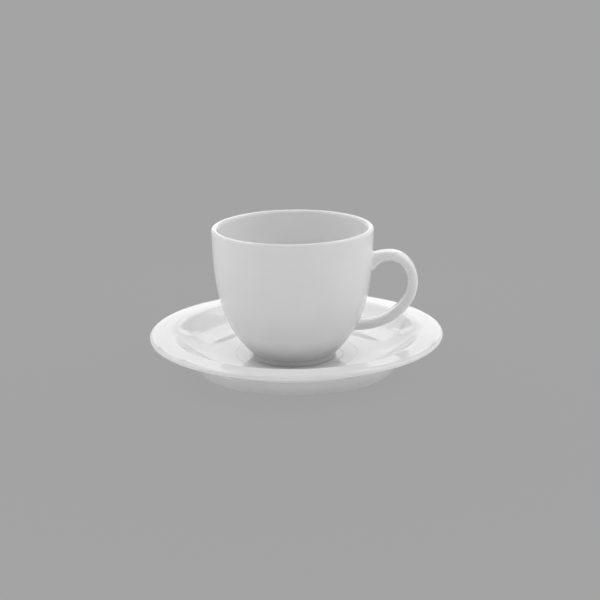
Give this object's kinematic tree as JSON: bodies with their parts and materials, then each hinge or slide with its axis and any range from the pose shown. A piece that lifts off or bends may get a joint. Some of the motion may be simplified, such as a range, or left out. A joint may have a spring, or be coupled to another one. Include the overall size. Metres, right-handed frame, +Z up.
{
  "type": "teacup and saucer",
  "caption": "White glazed porcelain teacup with a rounded belly and a loop handle, standing on a round saucer with a raised flange; the cup lifts off.",
  "frame": {"origin": "under the middle of the saucer, on the table that it stands on", "axes": "+Z up, along the way the cup lifts; +X along the handle, away from the cup"},
  "size_m": [0.15, 0.15, 0.0727],
  "materials": {
    "saucer_glaze": "clear gloss glaze over white porcelain, foot ring bare",
    "cup_glaze": "clear gloss glaze over white porcelain, foot ring bare"
  },
  "bodies": {
    "saucer": {"saucer": "saucer_glaze"},
    "cup": {"cup_bowl": "cup_glaze", "cup_handle": "cup_glaze", "upper_slip_joint": "cup_glaze", "lower_slip_joint": "cup_glaze"}
  },
  "joints": [
    {"name": "cup_lift", "type": "slide", "parent": "saucer", "child": "cup", "axis": [0, 0, 1], "range_m": [0, 0.1]}
  ]
}
